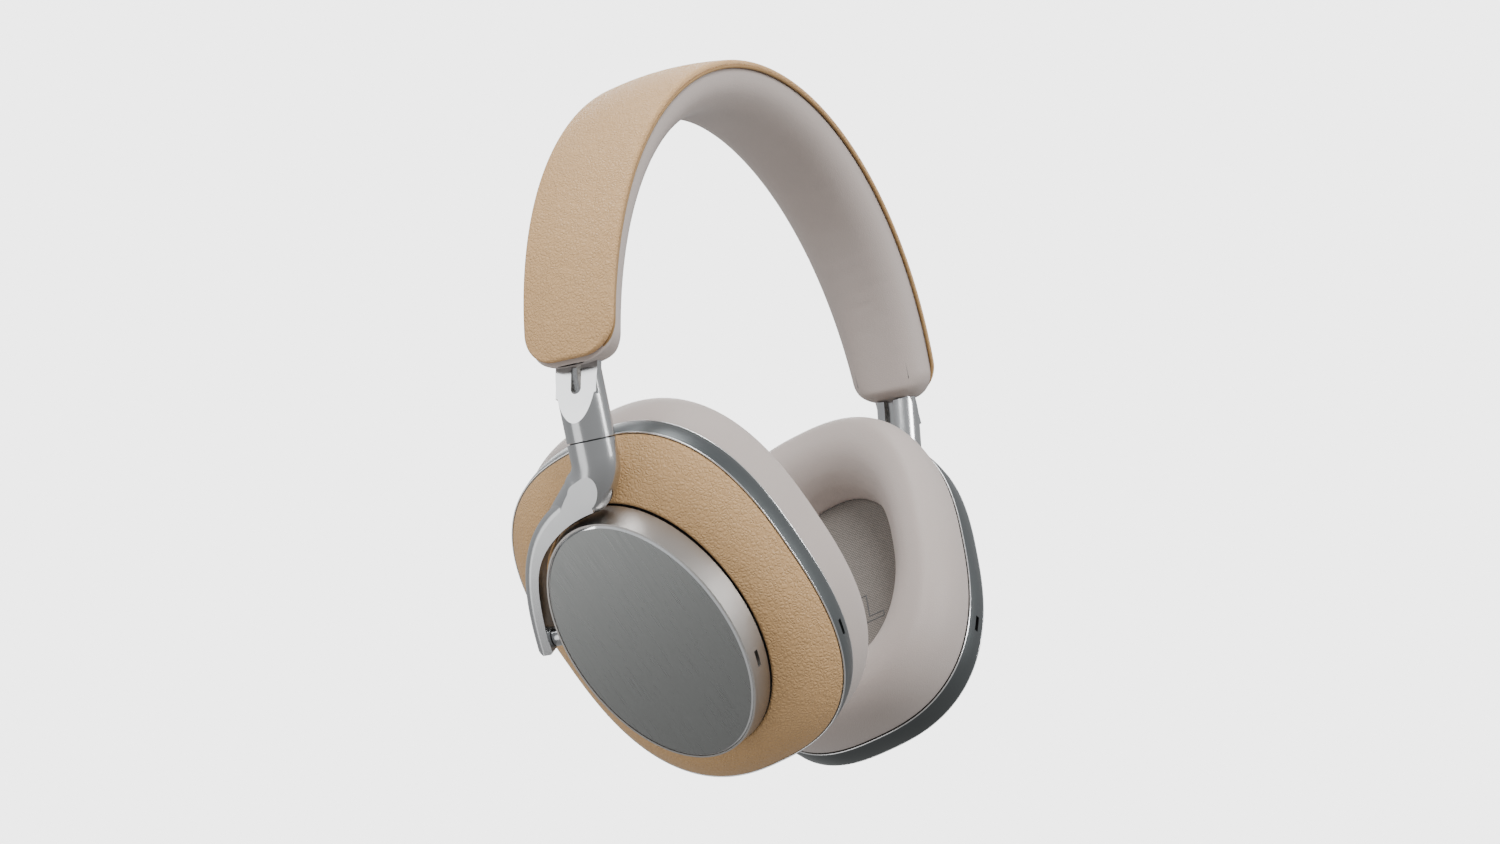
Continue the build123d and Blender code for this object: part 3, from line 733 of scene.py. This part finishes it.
# ---- headband
@dataclass
class Headband:
    """Sprung band: leather cover, painted edge and soft cushion."""

    layout: Layout = field(default_factory=Layout)
    rows_end: int = 22
    rows_middle: int = 190
    edge_bead: float = 0.42
    end_fillet: float = 4.5
    cushion_power: float = 2.6
    crease_count: int = 46
    crease_depth: float = 0.16
    flat_columns: int = 40
    edge_columns: int = 8
    under_columns: int = 56
    back_columns: int = 24
    cover_share: float = 0.98
    cushion_inset: float = 0.9
    end_power: float = 2.2

    def end_turn(self, height: float) -> float:
        """Angle from the top of the band down to an end at this height over its centre."""
        return math.acos(height / self.layout.band_radius)

    def half_width(self, turn: np.ndarray) -> np.ndarray:
        """Half width by angle: the end's width plus the rest, less the square of the angle's share."""
        share = 1 - (turn / self.end_turn(self.layout.end_height)) ** 2
        gain = self.layout.half_top - self.layout.half_end
        return self.layout.half_end + gain * np.maximum(share, -0.3)

    def stations(self, last: float, corner: float) -> tuple[np.ndarray, np.ndarray]:
        """Angles along the band, close together near the ends, and how far each is from an end.

        Args:
            last: angle of the end.
            corner: length of the close part, in millimetres.

        Returns:
            Angles, and distances from the nearer end in millimetres.
        """
        radius = self.layout.band_radius
        ease = 1 - np.cos(np.linspace(0, math.pi / 2, self.rows_end))
        near = last - ease * corner / radius
        middle = np.linspace(near[-1], -near[-1], self.rows_middle)[1:-1]
        turns = np.concatenate([near, middle, -near[::-1]])
        away = (last - np.abs(turns)) * radius
        return turns, away

    def corner_cut(self, away: np.ndarray, corner: float) -> np.ndarray:
        """What a rounded corner takes off the half width, so far from the end."""
        inside = np.clip(corner - away, 0, corner)
        return corner - np.sqrt(np.maximum(corner**2 - inside**2, 0))

    def world(self, turn: np.ndarray, across: np.ndarray, radius: np.ndarray) -> np.ndarray:
        """Points by band angle, distance across it and distance from its centre."""
        flat = np.stack([radius * np.sin(turn), across, radius * np.cos(turn)], axis=-1)
        return (flat + np.array([0, 0, self.layout.centre_z])) * MM

    def make_cover(self) -> bpy.types.Object:
        """Leather cover: a crowned strip with full-round edges and rounded corners.

        Each row is a flat core grown by a radius; the radius dies away as a quarter circle
        over the last millimetre, which closes the ends.
        """
        lay = self.layout
        radius = lay.cover / 2 * self.cover_share
        turns, away = self.stations(self.end_turn(lay.end_height), lay.end_corner)
        full = self.half_width(turns)
        half = full - self.corner_cut(away, lay.end_corner)
        inside = np.clip(radius - away, 0, radius)
        swell = np.sqrt(np.maximum(radius**2 - inside**2, 0))
        run = np.linspace(-1, 1, self.flat_columns)
        bend = np.linspace(0, math.pi, self.edge_columns + 2)[1:-1]
        edge, level = np.ones(self.edge_columns), np.ones(self.flat_columns)
        core = np.concatenate([run, edge, run[::-1], -edge])
        out = np.concatenate([0 * level, np.sin(bend), 0 * level, -np.sin(bend)])
        rise = np.concatenate([level, np.cos(bend), -level, -np.cos(bend)])
        across = (half - radius)[:, None] * core + swell[:, None] * out
        crown = lay.band_crown * (1 - (across / full[:, None]) ** 2)
        reach = lay.band_radius - radius + crown + swell[:, None] * rise
        points = self.world(np.broadcast_to(turns[:, None], across.shape), across, reach)
        piece = grid_piece("headband_leather_cover", points, False, True)
        return settle(piece, "headband", TAN_LEATHER, "headband_cover")

    def make_edge(self) -> bpy.types.Object:
        """Painted edge bead: a thin round bead along the whole outline under the cover."""
        lay = self.layout
        turns, away = self.stations(self.end_turn(lay.end_height), lay.end_corner)
        half = self.half_width(turns) - self.corner_cut(away, lay.end_corner) - self.edge_bead * 0.9
        reach = np.full_like(turns, lay.band_radius - lay.cover + 0.1)
        there = self.world(turns, half, reach)
        back = self.world(turns[::-1], -half[::-1], reach)
        path = np.concatenate([there, back]) / MM
        keep = np.linalg.norm(path - np.roll(path, 1, 0), axis=1) > 0.05
        path = path[keep]
        points = tube(path, self.edge_bead, 10, True, (0.0, 0.02, 1.0)) * MM
        piece = grid_piece("headband_edge_bead", points, True, True)
        return settle(piece, "headband", EDGE_PAINT)

    def creases(self, turn: np.ndarray, across: np.ndarray) -> np.ndarray:
        """Depth of the fine creases where the leather gathers on the inside of the bend.

        Each is a narrow valley across the band: a Gaussian of the distance along it,
        times a wider Gaussian of the distance across it, at seeded places.
        """
        rng = np.random.default_rng(SEED)
        where = rng.uniform(0.55, 1.38, self.crease_count) * rng.choice([-1, 1], self.crease_count)
        middle = rng.uniform(-9, 9, self.crease_count)
        length = rng.uniform(3.0, 7.5, self.crease_count)
        width = rng.uniform(0.45, 1.1, self.crease_count)
        depth = rng.uniform(0.35, 1.0, self.crease_count)
        slant = rng.uniform(-0.12, 0.12, self.crease_count)
        total = np.zeros_like(across)
        for i in range(self.crease_count):
            along = (turn - where[i]) * self.layout.band_radius + slant[i] * across
            valley = np.exp(-((along / width[i]) ** 2)) * np.exp(-(((across - middle[i]) / length[i]) ** 2))
            total += depth[i] * valley
        return total * self.crease_depth

    def make_cushion(self) -> bpy.types.Object:
        """Cushion: flat against the cover, a superellipse below, rolled over at both ends.

        Below, depth is one less the across share to the power, to its root; at the ends
        the depth falls off as a quarter circle.
        """
        lay = self.layout
        corner = lay.end_corner - 1
        last = self.end_turn(lay.end_height - lay.cushion_overhang)
        turns, away = self.stations(last, corner)
        full = self.half_width(turns) - self.cushion_inset
        half = full - self.corner_cut(away, corner)
        top = lay.band_radius - lay.cover - lay.fit
        inside = np.clip(self.end_fillet - away, 0, self.end_fillet) / self.end_fillet
        depth = (lay.band_depth - lay.cover - lay.fit) * np.sqrt(np.maximum(1 - inside**self.end_power, 0))
        roll = np.linspace(0, math.pi, self.under_columns)
        cos = np.sign(np.cos(roll)) * np.abs(np.cos(roll)) ** (2 / self.cushion_power)
        sin = np.abs(np.sin(roll)) ** (2 / self.cushion_power)
        back = np.linspace(-1, 1, self.back_columns + 2)[1:-1]
        core = np.concatenate([cos, back])
        sag = np.concatenate([sin, np.zeros(self.back_columns)])
        across = half[:, None] * core
        crown = lay.band_crown * (1 - (across / full[:, None]) ** 2) * (1 - sag)
        turn = np.broadcast_to(turns[:, None], across.shape)
        reach = top + crown - depth[:, None] * sag
        reach = reach + self.creases(turn, across) * np.clip(sag * 2, 0, 1) * (depth / depth.max())[:, None]
        piece = grid_piece("headband_soft_cushion", self.world(turn, across, reach), False, True)
        return settle(piece, "headband", GREY_LEATHER, "headband_cushion")

    def build(self) -> None:
        """Make the band's pieces."""
        self.make_cover()
        self.make_edge()
        self.make_cushion()


# ---- slider lead
@dataclass
class SliderLead:
    """Braided lead that lies in the slot of the sliding arm."""

    side: Side
    layout: Layout = field(default_factory=Layout)
    radius: float = 1.0
    strands: int = 8
    pitch: float = 6.0
    relief: float = 0.13
    steps: int = 420
    around: int = 72
    ease: int = 30
    weave_level: float = 0.6

    def build(self) -> None:
        """Tube with two sets of strands that pass over and under as they wind opposite ways.

        The path runs through the knots, eased by a moving bell-shaped average.
        """
        knots = np.array([
            (-0.42, -7.0, -4.0), (-0.42, -5.6, -2.9), (-0.4, -3.0, -1.7), (-0.25, 1.0, -1.35),
            (0.1, 8.0, -1.3), (0.2, 16.0, -1.3), (0.0, 23.5, -1.3),
        ])
        share = np.linspace(0, 1, len(knots))
        steps = np.linspace(0, 1, self.steps)
        path = np.stack([np.interp(steps, share, knots[:, i]) for i in range(3)], axis=-1)
        kernel = np.hanning(2 * self.ease + 1)
        kernel /= kernel.sum()
        padded = np.pad(path, ((self.ease, self.ease), (0, 0)), mode="reflect", reflect_type="odd")
        path = np.stack([np.convolve(padded[:, i], kernel, "valid") for i in range(3)], axis=-1)
        run = np.concatenate([[0], np.cumsum(np.linalg.norm(np.diff(path, axis=0), axis=1))])
        around = np.linspace(0, 2 * math.pi, self.around, endpoint=False)
        wind = 2 * math.pi * run[:, None] / self.pitch
        one = np.cos(self.strands / 2 * (around[None] + wind))
        two = np.cos(self.strands / 2 * (around[None] - wind))
        radii = self.radius + self.relief * (np.maximum(one, two) - self.weave_level)
        local = tube(path, radii, self.around, False, (1, 0, 0))
        points = self.layout.strip.points(local, self.side)
        word = self.side.word
        piece = grid_piece(f"slider_braided_lead_{word}", points, False, True)
        settle(piece, f"slider_{word}", BRAID, f"slider_cable_{word}")


# ---- cup
@dataclass
class Cup:
    """One ear cup: leather dome, bright lips, brushed plate, pad and liner."""

    side: Side
    layout: Layout = field(default_factory=Layout)
    around: int = 256
    leather: float = 1.5
    lip: float = 0.22
    gap: float = 0.18
    tuck: float = 0.7
    pucker: float = 0.2
    dome_rows: int = 60
    dome_edge_rows: int = 12
    dome_inset: float = 0.15
    dome_step: float = 0.5
    dome_first: float = 0.45
    dome_power: float = 2.05
    liner_rows: int = 40
    liner_back_rows: int = 12
    liner_swell: float = 0.5
    mark_radius: float = 0.16
    mark_place: tuple[float, float] = (-7.0, -9.0)

    @property
    def turns(self) -> np.ndarray:
        """Polar angles round the cup."""
        return np.linspace(0, 2 * math.pi, self.around, endpoint=False)

    @property
    def body(self) -> str:
        """Name of the CAD body."""
        return f"cup_{self.side.word}"

    def name(self, stem: str) -> str:
        """Piece name for this side."""
        return f"{stem}_{self.side.word}"

    def oval_rows(self, half_x, half_y, power, z) -> np.ndarray:
        """Rows of superellipses at heights along the ring's axis, as local points."""
        shape = (len(z), 1)
        flat = oval_reach(
            np.reshape(half_x, shape), np.reshape(half_y, shape), np.reshape(power, shape), self.turns[None]
        )
        high = np.broadcast_to(np.reshape(z, shape), flat.shape[:2])
        return np.concatenate([flat, high[..., None]], axis=-1)

    def make_dome(self) -> bpy.types.Object:
        """Leather dome: ovals that grow and square off from the plate to the ring.

        At share s the fall is a linear part and a cubed part of the full drop, which add up
        to one. The closed profile is that curve, a turned edge of half the leather's
        thickness at each end, and its inside.
        """
        lay = self.layout
        start_x, start_y = (half + lay.housing_flare + self.gap for half in (lay.plate_x, lay.plate_y))
        grow_x, grow_y = lay.ring_x - self.dome_inset - start_x, lay.ring_y - self.dome_inset - start_y
        top = lay.plate_z - lay.housing_depth - self.dome_step
        fall = top - lay.ring_z
        length = math.hypot(grow_y, fall)
        radius = self.leather / 2
        bend = np.linspace(0, math.pi, self.dome_edge_rows + 2)[1:-1]
        edge = radius / length
        run = np.linspace(edge, 1 - edge, self.dome_rows)
        level = np.zeros(self.dome_rows)
        share = np.concatenate([run, run[-1] + edge * np.sin(bend), run[::-1], run[0] - edge * np.sin(bend)])
        sunk = np.concatenate([
            level, radius - radius * np.cos(bend), level + self.leather, radius + radius * np.cos(bend)
        ])
        cubed = 1 - self.dome_first
        slope = fall * (self.dome_first + 3 * cubed * share**2)
        out_r, out_z = slope / np.hypot(slope, grow_y), grow_y / np.hypot(slope, grow_y)
        half_x = start_x + grow_x * share - sunk * out_r
        half_y = start_y + grow_y * share - sunk * out_r
        power = self.dome_power + (lay.ring_power - self.dome_power) * share
        high = top - fall * (self.dome_first * share + cubed * share**3) - sunk * out_z
        local = self.oval_rows(half_x, half_y, power, high)
        local[..., 0] += (lay.ring_forward * (1 - np.clip(share, 0, 1)))[:, None]
        piece = grid_piece(self.name("dome_leather"), lay.ring.points(local, self.side), True, True)
        return settle(piece, self.body, TAN_LEATHER, f"leather_panel_{self.side.word}")

    def make_lips(self) -> None:
        """Diamond-cut lips: thin round rims at the leather side and the pad side of the ring."""
        lay = self.layout
        turn = np.linspace(0, 2 * math.pi, 12, endpoint=False)
        for stem, high, grow in (("leather_lip", lay.ring_z - 0.12, -0.12), ("pad_lip", lay.pad_z + 0.1, -0.1)):
            reach = grow + self.lip * np.cos(turn)
            level = high + self.lip * np.sin(turn)
            local = self.oval_rows(lay.ring_x + reach, lay.ring_y + reach, np.full(12, lay.ring_power), level)
            piece = grid_piece(self.name(stem), lay.ring.points(local, self.side), True, True)
            settle(piece, self.body, BRIGHT_CUT)

    def make_pad(self) -> bpy.types.Object:
        """Ear pad: one closed section carried round from the ring's oval to the opening's.

        The section is a smooth closed curve of share across (0 outside, 1 at the opening)
        and depth; a little pucker of a few waves round the inside keeps it from being ideal.
        """
        lay = self.layout
        knots = (
            (0.012, -0.1), (-0.035, -3.2), (-0.062, -8.0), (-0.045, -12.6), (0.03, -16.6), (0.16, -19.3),
            (0.33, -20.3), (0.52, -20.1), (0.7, -18.4), (0.855, -15.0), (0.945, -10.6), (0.975, -6.2),
            (0.985, -2.6), (0.93, -1.6), (0.75, -1.45), (0.3, -1.4), (0.1, -1.3), (0.07, -0.4),
        )
        section = closed_curve(knots, 9)
        share, depth = section[:, 0], section[:, 1]
        outer = oval_reach(lay.ring_x - 0.3, lay.ring_y - 0.3, lay.ring_power, self.turns)
        inner = oval_reach(lay.opening_x, lay.opening_y, lay.opening_power, self.turns)
        flat = outer[None] * (1 - share)[:, None, None] + inner[None] * share[:, None, None]
        rng = np.random.default_rng(SEED + self.side.value)
        waves = rng.uniform(0, 2 * math.pi, 3)
        ripple = sum(np.sin(k * self.turns + w) for k, w in zip((3, 5, 8), waves)) / 3
        inside = np.exp(-(((share - 0.8) / 0.2) ** 2))
        high = lay.pad_z - lay.fit + depth[:, None] + self.pucker * inside[:, None] * ripple[None]
        local = np.concatenate([flat, high[..., None]], axis=-1)
        piece = grid_piece(self.name("soft_ear_pad"), lay.ring.points(local, self.side), True, True)
        return settle(piece, self.body, GREY_LEATHER, f"ear_pad_{self.side.word}")

    def make_liner(self) -> bpy.types.Object:
        """Acoustic cloth: an oval sheet that swells towards the ear as one less the radius squared."""
        lay = self.layout
        base = lay.pad_z - lay.fit - lay.pad_plate - lay.fit
        share = np.linspace(0.001, 1, self.liner_rows)
        back = np.linspace(1, 0.001, self.liner_back_rows)
        swell = np.concatenate([lay.liner + self.liner_swell * (1 - share**2), 0 * back])
        share = np.concatenate([share, back])
        half_x, half_y = lay.opening_x + self.tuck, lay.opening_y + self.tuck
        power = np.full(len(share), lay.opening_power)
        local = self.oval_rows(half_x * share, half_y * share, power, base - swell)
        piece = grid_piece(self.name("liner_cloth"), lay.ring.points(local, self.side), False, True)
        cloth = KnitCloth(
            "warp_knit_acoustic_cloth", "#8a837c", "#5f5a55", "liner_fabric",
            roughness=0.9, grain_mm=0.9, depth_mm=0.06, side=self.side,
        )
        return settle(piece, self.body, cloth, f"acoustic_liner_{self.side.word}", "_" + self.side.word)

    def make_mark(self) -> bpy.types.Object:
        """Ear mark: the outline of a plain L or R, as a thin raised bead on the liner."""
        lay = self.layout
        if self.side is Side.LEFT:
            outline = [(0, 0), (6.4, 0), (6.4, 1.7), (1.8, 1.7), (1.8, 9), (0, 9)]
        else:
            outline = [
                (0, 0), (1.7, 0), (1.7, 3.4), (2.7, 3.4), (4.7, 0), (6.6, 0), (4.4, 3.8), (5.9, 5.0),
                (6.1, 6.6), (5.4, 8.2), (3.8, 9), (0, 9),
            ]
        corners = np.array(outline, float) - np.array([3.2, 4.5])
        steps = np.linspace(0, 1, 16, endpoint=False)[None, :, None]
        path = (corners[:, None] * (1 - steps) + np.roll(corners, -1, 0)[:, None] * steps).reshape(-1, 2)
        base = lay.pad_z - 2 * lay.fit - lay.pad_plate - lay.liner
        x, y = self.mark_place[0] - path[:, 0], self.mark_place[1] + path[:, 1]
        radial = (x / lay.opening_x) ** 2 + (y / lay.opening_y) ** 2
        local = np.stack([x, y, base - self.liner_swell * (1 - radial) - 0.02], axis=-1)
        bead = tube(local, self.mark_radius, 8, True, (0, 0, 1))
        piece = grid_piece(self.name("ear_mark"), lay.ring.points(bead, self.side), True, True)
        return settle(piece, self.body, GREY_ACETAL)

    def dress_plate(self, nodes: dict[str, bpy.types.Object]) -> None:
        """Give the face plate its brushed face and bright edge."""
        plate = BrushedPlate(
            "brushed_anodised_aluminium", "#8b8c8b", "#838584", "brushed_plate",
            roughness=0.3, metallic=1.0, depth_mm=0.0012, side=self.side,
        )
        plate.dress(nodes[self.name("face_plate")], "_" + self.side.word)

    def build(self, nodes: dict[str, bpy.types.Object]) -> None:
        """Make the cup's pieces."""
        self.make_dome()
        self.make_lips()
        self.make_pad()
        self.make_liner()
        self.make_mark()
        self.dress_plate(nodes)


# ---- studio
@dataclass(frozen=True)
class SoftBox:
    """A square studio light aimed at the object."""

    name: str
    place: tuple[float, float, float]
    size: float
    power: float


@dataclass
class Studio:
    """Floor, light and camera."""

    floor_drop: float = 0.16
    floor_size: float = 6.0
    fill: float = 0.75
    backdrop: float = 4.0
    low_light: str = "#b4b3b2"
    high_light: str = "#f4f6f8"
    azimuth: float = -62.1
    elevation: float = -6.9
    roll: float = -7.65
    distance: float = 0.93065
    lens: float = 80.8
    sensor: float = 36.0
    slide: tuple[float, float] = (-0.00118, -0.00255)
    boxes: tuple[SoftBox, ...] = (
        SoftBox("key_light", (-0.7, -0.85, 0.85), 0.5, 12.5),
        SoftBox("front_strip", (0.35, -1.1, 0.25), 0.3, 6.0),
        SoftBox("facet_light", (-0.82, 0.56, 0.68), 0.55, 3.4),
        SoftBox("top_light", (0.1, 0.0, 1.2), 0.8, 11.5),
        SoftBox("back_light", (0.9, 0.6, 0.5), 0.5, 4.0),
        SoftBox("plate_card", (-0.44, 0.22, -0.2), 0.34, 0.62),
    )

    def aim(self, place: np.ndarray, target: np.ndarray, roll: float = 0.0) -> Matrix:
        """Matrix that stands at a place and looks at a target, Z up, then rolls."""
        back = place - target
        back = back / np.linalg.norm(back)
        right = np.cross((0, 0, 1), back)
        right /= np.linalg.norm(right)
        up = np.cross(back, right)
        turn = math.radians(roll)
        cos, sin = math.cos(turn), math.sin(turn)
        right, up = cos * right + sin * up, cos * up - sin * right
        matrix = np.eye(4)
        matrix[:3, :3] = np.column_stack([right, up, back])
        matrix[:3, 3] = place
        return Matrix(matrix.tolist())

    def make_camera(self) -> None:
        """Long-lens camera, a little below the band's centre and slightly rolled."""
        centre = np.array([0, 0, LAYOUT.centre_z * MM])
        turn, high = math.radians(self.azimuth), math.radians(self.elevation)
        back = np.array([math.sin(turn) * math.cos(high), -math.cos(turn) * math.cos(high), math.sin(high)])
        matrix = self.aim(centre + back, centre, self.roll)
        axes = np.array(matrix)[:3, :3]
        place = centre + back * self.distance + axes[:, 0] * self.slide[0] + axes[:, 1] * self.slide[1]
        matrix.translation = place.tolist()
        data = bpy.data.cameras.new("camera")
        data.lens, data.sensor_width = self.lens, self.sensor
        data.clip_start, data.clip_end = 0.01, 100.0
        camera = bpy.data.objects.new("camera", data)
        camera.matrix_world = matrix
        bpy.context.scene.collection.objects.link(camera)
        bpy.context.scene.camera = camera

    def make_floor(self, lowest: float) -> None:
        """Pale floor well below the object, which hangs as if worn."""
        half = self.floor_size / 2
        corners = np.array([[[-half, -half, 0], [half, -half, 0]], [[-half, half, 0], [half, half, 0]]], float)
        corners[..., 2] = lowest - self.floor_drop
        floor = grid_piece("floor", corners, False, False)
        paper = Finish(
            "matte_studio_paper", "#fbfbfb", "#f6f6f6", "", roughness=0.9, grain_mm=60.0, depth_mm=0.05
        )
        paper.dress(floor)
        floor.is_shadow_catcher = True
        floor.visible_diffuse = False
        floor.visible_glossy = False
        floor.visible_shadow = False
        floor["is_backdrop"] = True

    def make_world(self) -> None:
        """Soft surround, dimmer below and brightest overhead; camera rays see plain white."""
        world = bpy.data.worlds.new("studio")
        world.use_nodes = True
        tree = world.node_tree
        tree.nodes.clear()
        way = add_node(tree, "TexCoord").outputs["Generated"]
        high = add_node(tree, "SeparateXYZ", {}, {0: way}).outputs["Z"]
        up = add_node(tree, "MapRange", {"From Min": -0.9, "From Max": 0.7}, {"Value": high}).outputs["Result"]
        colours = {"data_type": "RGBA", 6: linear(self.low_light), 7: linear(self.high_light)}
        colour = add_node(tree, "Mix", colours, {0: up}).outputs[2]
        fill = add_node(tree, "Background", {"Strength": self.fill}, {"Color": colour})
        seen = add_node(tree, "Background", {"Color": linear("#ffffff"), "Strength": self.backdrop})
        ray = add_node(tree, "LightPath").outputs["Is Camera Ray"]
        both = add_node(tree, "MixShader", {}, {0: ray, 1: fill.outputs[0], 2: seen.outputs[0]})
        add_node(tree, "OutputWorld", {}, {"Surface": both.outputs[0]})
        bpy.context.scene.world = world

    def make_lights(self, centre: np.ndarray) -> None:
        """Soft boxes round the object."""
        for box in self.boxes:
            data = bpy.data.lights.new(box.name, "AREA")
            data.shape, data.size, data.energy = "SQUARE", box.size, box.power
            lamp = bpy.data.objects.new(box.name, data)
            lamp.matrix_world = self.aim(centre + np.array(box.place), centre)
            bpy.context.scene.collection.objects.link(lamp)

    def build(self, low: np.ndarray, high: np.ndarray) -> None:
        """Make the studio round the object's box."""
        self.make_camera()
        self.make_floor(float(low[2]))
        self.make_world()
        self.make_lights((low + high) / 2)


def dress_frame(nodes: dict[str, bpy.types.Object]) -> None:
    """Give every carried-over CAD node its finish."""
    for name, piece in nodes.items():
        stem = name.removesuffix("_left").removesuffix("_right")
        finish = CAD_FINISHES.get(stem)
        if finish:
            finish.dress(piece)


def main() -> None:
    """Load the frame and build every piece."""
    logging.basicConfig(level=logging.INFO, format="%(message)s")
    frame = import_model()
    cad_low, cad_high = (np.array(corner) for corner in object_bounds())
    nodes = frame["nodes"]
    dress_frame(nodes)
    Headband().build()
    for side in Side:
        SliderLead(side).build()
        Cup(side).build(nodes)
    Studio().build(cad_low, cad_high)


if __name__ == "__main__":
    main()
